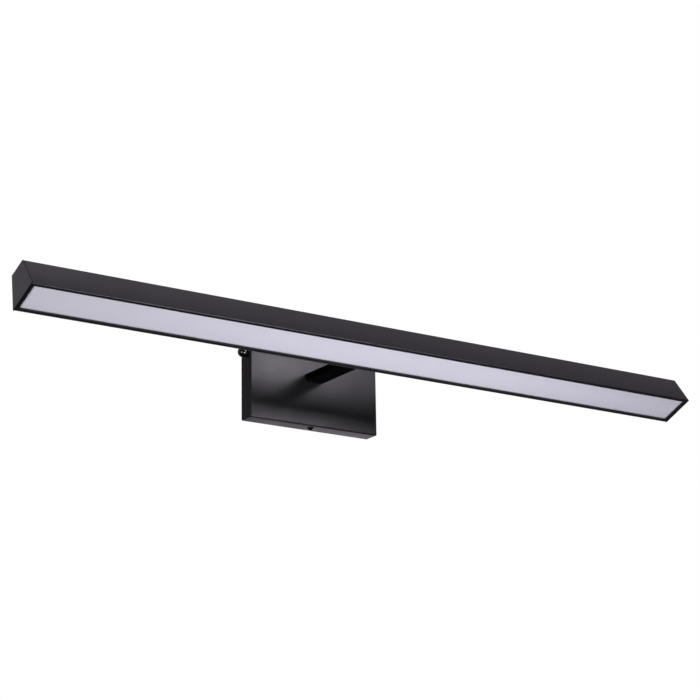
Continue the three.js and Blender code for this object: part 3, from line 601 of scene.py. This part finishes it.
# ---- frames of the tilted head ----

def leg_foot():
    """The tilt axis's foot on the back leg's outside, in the head's level frame."""
    across = HEAD_BASE / 2 - PIVOT_UP_LEG * math.sin(LEG_SLOPE)
    return Vector((0, across, PIVOT_UP_LEG * math.cos(LEG_SLOPE)))


def head_frame():
    """The head's level frame in the model's frame: y across the head, z up from the rim."""
    out_of_leg = Vector((0, math.cos(LEG_SLOPE), math.sin(LEG_SLOPE)))
    pivot = leg_foot() + out_of_leg * PIVOT_STAND_OFF
    return Matrix.Translation(PIVOT) @ Matrix.Rotation(-HEAD_TILT, 4, "X") @ Matrix.Translation(-pivot)


def leg_frame():
    """The back leg's frame within the head's level frame: y straight out of the leg, z up along it."""
    return Matrix.Translation(leg_foot()) @ Matrix.Rotation(LEG_SLOPE, 4, "X")


def half_width(z, inset=0.0):
    """Half the head's width at a height over the rim, set in from the leg's face."""
    return HEAD_BASE / 2 - z * math.tan(LEG_SLOPE) - inset / math.cos(LEG_SLOPE)


def mirrored(corners):
    """The left half of an outline, from its right half of (y, z, radius) corners."""
    return [(-y, z, radius) for y, z, radius in reversed(corners)]


# ---- lamp head ----

def add_housing():
    """The head's channel in one closed section: outer trapezoid, inner faces and the two screw ribs."""
    ceiling = HEAD_HEIGHT - HEAD_WALL
    rib = half_width(RIB_LOW, HEAD_WALL) - RIB_REACH
    outside = [(half_width(0), 0, RIM_EDGE), (half_width(HEAD_HEIGHT), HEAD_HEIGHT, HEAD_EDGE)]
    inside = [
        (half_width(ceiling, HEAD_WALL), ceiling, HEAD_EDGE),
        (half_width(RIB_HIGH, HEAD_WALL), RIB_HIGH, 0),
        (rib, RIB_HIGH, 0),
        (rib, RIB_LOW, 0),
        (half_width(RIB_LOW, HEAD_WALL), RIB_LOW, 0),
        (half_width(0, HEAD_WALL), 0, RIM_INNER_EDGE),
    ]
    low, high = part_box("housing")
    outline = rounded(outside + mirrored(outside) + mirrored(inside) + inside)
    mesh = mesh_of("housing", prism(outline, low.x + CAP_SEAM, high.x - CAP_SEAM))
    hole = rod(GROMMET_HOLE, (0, -3 * HEAD_WALL, 0), (0, 3 * HEAD_WALL, 0))
    hole.transform(leg_frame())
    mesh = combined(mesh, "DIFFERENCE", [hole])
    mesh.transform(head_frame())
    piece = new_piece("lamp_housing", mesh, "head", "black_coat", "housing")
    soften(piece, SHEET_EDGE)


def crown_levels(half):
    """Places across the diffuser, from one side to the other, close together where its face curves."""
    steps = 8
    curve = [half - DIFFUSER_CURVE * (1 - i / steps) for i in range(steps + 1)]
    return [-place for place in reversed(curve)] + curve


def crown_drop(x, y, half_length, half):
    """How far the diffuser's face has curved away at a place, given its half length and half width."""
    past = max(abs(x) - half_length, abs(y) - half) + DIFFUSER_CURVE
    return DIFFUSER_RADIUS - math.sqrt(DIFFUSER_RADIUS ** 2 - max(past, 0) ** 2)


def add_diffuser():
    """The opal sheet: flat in the middle, its face curving away behind the frame on all four sides."""
    low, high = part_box("diffuser")
    half_length = (high.x - low.x) / 2
    half = half_width(0, HEAD_WALL) - DIFFUSER_SIDE
    xs = crown_levels(half_length)
    ys = crown_levels(half)
    bm = bmesh.new()
    face = [
        [bm.verts.new((x, y, DIFFUSER_LOW + crown_drop(x, y, half_length, half))) for y in ys]
        for x in xs
    ]
    back = [[bm.verts.new((x, y, DIFFUSER_HIGH)) for y in ys] for x in xs]
    for sheet in (face, back):
        for row, following in zip(sheet, sheet[1:]):
            for j in range(len(ys) - 1):
                bm.faces.new((row[j], following[j], following[j + 1], row[j + 1]))
    for i in range(len(xs) - 1):
        for j in (0, -1):
            bm.faces.new((face[i][j], face[i + 1][j], back[i + 1][j], back[i][j]))
    for j in range(len(ys) - 1):
        for i in (0, -1):
            bm.faces.new((face[i][j], face[i][j + 1], back[i][j + 1], back[i][j]))
    mesh = mesh_of("diffuser", bm)
    mesh.transform(head_frame())
    new_piece("opal_diffuser", mesh, "head", "opal", "diffuser")


# ---- canopy ----

def folded_pan(low, high):
    """A box of sheet steel with rounded bends, open at the back."""
    bm = box_bmesh(low, high)
    back = [face for face in bm.faces if face.calc_center_median().y > high.y - MM]
    bmesh.ops.delete(bm, geom=back, context="FACES_ONLY")
    folds = [edge for edge in bm.edges if len(edge.link_faces) == 2]
    bmesh.ops.bevel(bm, geom=folds, offset=CANOPY_BEND, segments=8, profile=0.5, affect="EDGES")
    shell = bpy.data.objects.new("shell", mesh_of("canopy", bm))
    bpy.context.scene.collection.objects.link(shell)
    wall = shell.modifiers.new("wall", "SOLIDIFY")
    wall.thickness = CANOPY_WALL
    wall.offset = -1
    wall.use_even_offset = True
    bpy.context.view_layer.update()
    graph = bpy.context.evaluated_depsgraph_get()
    mesh = bpy.data.meshes.new_from_object(shell.evaluated_get(graph))
    bpy.data.objects.remove(shell)
    return mesh


def add_canopy():
    """The canopy with its holes for the arm, the dimmer and the two screws, and its four weld studs."""
    low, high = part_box("canopy_shell")
    arm_low, arm_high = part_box("arm_tube")
    arm_hole = bar_along_y(
        (arm_low.x - ARM_PLAY, low.y - CUT_BEYOND, arm_low.z - ARM_PLAY),
        (arm_high.x + ARM_PLAY, low.y + CANOPY_WALL + CUT_BEYOND, arm_high.z + ARM_PLAY),
        ARM_EDGE,
    )
    bushing = rod(
        BUSHING_HOLE,
        (low.x - CUT_BEYOND, KNOB_SEAT.y, KNOB_SEAT.z),
        (low.x + CANOPY_WALL + CUT_BEYOND, KNOB_SEAT.y, KNOB_SEAT.z),
    )
    middle = (low.y + high.y) / 2
    screws = rod(SCREW_HOLE, (0, middle, low.z - CUT_BEYOND), (0, middle, high.z + CUT_BEYOND))
    mesh = combined(folded_pan(low, high), "DIFFERENCE", [arm_hole, bushing, screws])
    inside = low.y + CANOPY_WALL
    studs = [
        rod(STUD_RADIUS, (x, inside - CANOPY_WALL / 2, z), (x, inside + STUD_LENGTH, z))
        for x in (-STUD_X, STUD_X)
        for z in (-STUD_Z, STUD_Z)
    ]
    mesh = combined(mesh, "UNION", studs)
    new_piece("canopy_pan", mesh, "canopy", "black_coat", "canopy_shell")


def add_arm():
    """The arm: a flat tube with rounded corners, its bore cut out past both ends."""
    low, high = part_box("arm_tube")
    wall = Vector((ARM_WALL, -MM, ARM_WALL))
    tube = bar_along_y(low, high, ARM_EDGE)
    bore = bar_along_y(low + wall, high - wall, ARM_EDGE / 4)
    piece = new_piece("arm", combined(tube, "DIFFERENCE", [bore]), "canopy", "black_coat", "arm_tube")
    # painted shade: the arm gets a darker copy of the black coat, standing in for the shade it sits in
    piece.data.materials[0] = MATERIALS["shaded_black_coat"]
    soften(piece, SHEET_EDGE)


# ---- the cable, whole through the tilt joint ----

def swept(points, radius, steps=8, sides=16):
    """A round cord along a smooth curve through points, closed at both ends, as a mesh."""
    last = len(points) - 1
    pulls = [(points[min(i + 1, last)] - points[max(i - 1, 0)]) / 6 for i in range(last + 1)]
    path = [points[0]]
    for i in range(last):
        start, stop = points[i], points[i + 1]
        limit = (stop - start).length / 3
        out = pulls[i] * min(1, limit / pulls[i].length)
        back = pulls[i + 1] * min(1, limit / pulls[i + 1].length)
        path += interpolate_bezier(start, start + out, stop - back, stop, steps + 1)[1:]
    bm = bmesh.new()
    side = Vector((1, 0, 0))
    rings = []
    for i, place in enumerate(path):
        ahead = (path[min(i + 1, len(path) - 1)] - path[max(i - 1, 0)]).normalized()
        side = (side - ahead * side.dot(ahead)).normalized()
        up = ahead.cross(side)
        angles = [2 * math.pi * j / sides for j in range(sides)]
        rings.append([bm.verts.new(place + (side * math.cos(a) + up * math.sin(a)) * radius) for a in angles])
    for ring, following in zip(rings, rings[1:]):
        for j in range(sides):
            k = (j + 1) % sides
            bm.faces.new((ring[j], ring[k], following[k], following[j]))
    bm.faces.new(rings[0])
    bm.faces.new(list(reversed(rings[-1])))
    return mesh_of("cord", bm)


def add_cable():
    """One cable from the canopy through the arm, across the tilt axis and on to the driver."""
    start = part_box("arm_cable")[1].y
    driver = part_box("led_driver")[0].x
    halfway = (start + PIVOT.y) / 2
    arm_places = (start, halfway, PIVOT.y + CABLE_STRAIGHT, PIVOT.y + CABLE_BEND)
    to_head = head_frame()
    points = [Vector((0, y, 0)) for y in arm_places]
    points += [to_head @ leg_frame() @ (Vector(point) * MM) for point in CABLE_IN_LEG]
    points += [to_head @ Vector((driver - gap, 0, CABLE_HEIGHT)) for gap in CABLE_BEFORE_DRIVER]
    cable = bpy.data.objects.new("flexible_cable", swept(points, CABLE_RADIUS))
    bpy.context.scene.collection.objects.link(cable)
    cable.data.materials.append(MATERIALS["black_pvc"])
    cable.data.shade_smooth()
    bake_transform(cable)
    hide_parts("arm_cable", "head_cable")


# ---- dimmer knob and visible screws ----

def ball_profile(radius, base, dimple):
    """A ball cut flat at its base and hollow there, with a small dimple in its crown."""
    start = -math.asin(base / radius)
    stop = math.acos(dimple / radius)
    steps = 28
    angles = [start + (stop - start) * i / steps for i in range(steps + 1)]
    ball = [(radius * math.cos(a), radius * math.sin(a)) for a in angles]
    crown = radius * math.sin(stop)
    bowl = [
        (dimple * 0.8, crown - 0.35 * dimple),
        (dimple * 0.4, crown - 0.55 * dimple),
        (0, crown - 0.6 * dimple),
    ]
    ceiling = KNOB_RECESS_DEPTH - base
    skirt = [(0, ceiling), (KNOB_RECESS_RADIUS, ceiling), (KNOB_RECESS_RADIUS, -base)]
    return skirt + ball + bowl


def add_knob():
    """The ball knob, its crown facing left out of the canopy's side."""
    low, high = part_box("dimmer_knob")
    radius = (high.z - low.z) / 2
    base = high.x - low.x - radius
    mesh = mesh_of("knob", lathe(ball_profile(radius, base, KNOB_DIMPLE), segments=64))
    centre = Vector((high.x - base, (low.y + high.y) / 2, (low.z + high.z) / 2))
    mesh.transform(Matrix.Translation(centre) @ Matrix.Rotation(-math.pi / 2, 4, "Y"))
    new_piece("ball_knob", mesh, "knob", "black_gloss", "dimmer_knob")


def screw_mesh(head, rise, shank, length, dome):
    """A screw standing on z = 0, with a hexagonal socket sunk in a domed or flat head."""
    if dome:
        crown = (rise * rise + head * head) / (2 * rise)
        half = math.asin(head / crown)
        steps = 10
        angles = [half * (1 - i / steps) for i in range(steps)]
        top = [(crown * math.sin(a), rise - crown + crown * math.cos(a)) for a in angles] + [(0, rise)]
    else:
        slant = SCREW_EDGE * 0.3
        top = [
            (head, 0),
            (head, rise - SCREW_EDGE),
            (head - slant, rise - slant),
            (head - SCREW_EDGE, rise),
            (0, rise),
        ]
    body = mesh_of("screw", lathe([(0, -length), (shank, -length), (shank, 0)] + top, segments=40))
    floor = rise * SOCKET_FLOOR
    corner = head * SOCKET_RADIUS
    above = rise + MM
    socket = lathe([(0, floor), (corner, floor), (corner, above), (0, above)], segments=6)
    return combined(body, "DIFFERENCE", [mesh_of("socket", socket)])


# node, body, (head radius, head height, shank radius, shank length) in mm, domed head, direction
SCREWS = (
    ("canopy_screw_top", "canopy", (5.4, 2.6, 2.0, 12.0), True, Vector((0, 0, 1))),
    ("canopy_screw_bottom", "canopy", (5.4, 2.6, 2.0, 12.0), True, Vector((0, 0, -1))),
    ("pivot_screw_left", "canopy", (4.0, 2.4, 2.0, 10.0), False, Vector((-1, 0, 0))),
    ("pivot_screw_right", "canopy", (4.0, 2.4, 2.0, 10.0), False, Vector((1, 0, 0))),
)


def add_screws():
    """The screws in sight, each with its head's top where its CAD node has it."""
    for node, body, sizes, dome, towards in SCREWS:
        low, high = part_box(node)
        head, rise, shank, length = (size * MM for size in sizes)
        reach = (high - low).dot(Vector(map(abs, towards))) / 2
        seat = (low + high) / 2 + towards * (reach - rise)
        mesh = screw_mesh(head, rise, shank, length, dome)
        mesh.transform(Matrix.Translation(seat) @ towards.to_track_quat("Z", "Y").to_matrix().to_4x4())
        new_piece(node + "_turned", mesh, body, "black_gloss", node)


# ---- CAD nodes that stay: their materials, softened edges and smooth round faces ----

def smooth_group():
    """Geometry nodes that weld a node's corners and shade it smooth up to an angle."""
    group = bpy.data.node_groups.new("smooth_by_angle", "GeometryNodeTree")
    group.interface.new_socket("Geometry", in_out="INPUT", socket_type="NodeSocketGeometry")
    group.interface.new_socket("Geometry", in_out="OUTPUT", socket_type="NodeSocketGeometry")
    new = group.nodes.new
    link = group.links.new
    start = new("NodeGroupInput")
    weld = new("GeometryNodeMergeByDistance")
    weld.inputs["Distance"].default_value = CAD_JOIN_DISTANCE
    faces = new("GeometryNodeSetShadeSmooth")
    faces.domain = "FACE"
    edges = new("GeometryNodeSetShadeSmooth")
    edges.domain = "EDGE"
    edges.inputs["Shade Smooth"].default_value = False
    angle = new("GeometryNodeInputMeshEdgeAngle")
    sharp = new("FunctionNodeCompare")
    sharp.inputs["B"].default_value = CAD_SHARP_ANGLE
    end = new("NodeGroupOutput")
    link(start.outputs[0], weld.inputs["Geometry"])
    link(weld.outputs[0], faces.inputs["Geometry"])
    link(faces.outputs[0], edges.inputs["Geometry"])
    link(angle.outputs["Unsigned Angle"], sharp.inputs["A"])
    link(sharp.outputs[0], edges.inputs["Selection"])
    link(edges.outputs[0], end.inputs[0])
    return group


EDGE_WIDTHS = {
    "end_cap_left": 0.3 * MM,
    "end_cap_right": 0.3 * MM,
    "diffuser_frame": 0.15 * MM,
    "pivot_block": 0.3 * MM,
    "tilt_bracket": 0.25 * MM,
    "mounting_bracket": 0.3 * MM,
    "terminal_block": 0.3 * MM,
    "led_driver": 0.8 * MM,
    "dimmer_body": 0.4 * MM,
}


def finish_cad_nodes():
    """Gives every CAD node its material and smooth round faces, and some of them softened edges."""
    group = smooth_group()
    for name, node in frame["nodes"].items():
        for slot in node.material_slots:
            slot.material = MATERIALS[SLOT_OF[name]]
        modifier = node.modifiers.new("smooth", "NODES")
        modifier.node_group = group
        if name in EDGE_WIDTHS:
            soften(node, EDGE_WIDTHS[name])


# ---- the scene ----

bpy.context.scene.view_settings.view_transform = "Standard"
add_camera()
add_floor()
add_world()
add_lights()

finish_cad_nodes()
add_housing()
add_diffuser()
add_canopy()
add_arm()
add_cable()
add_knob()
add_screws()
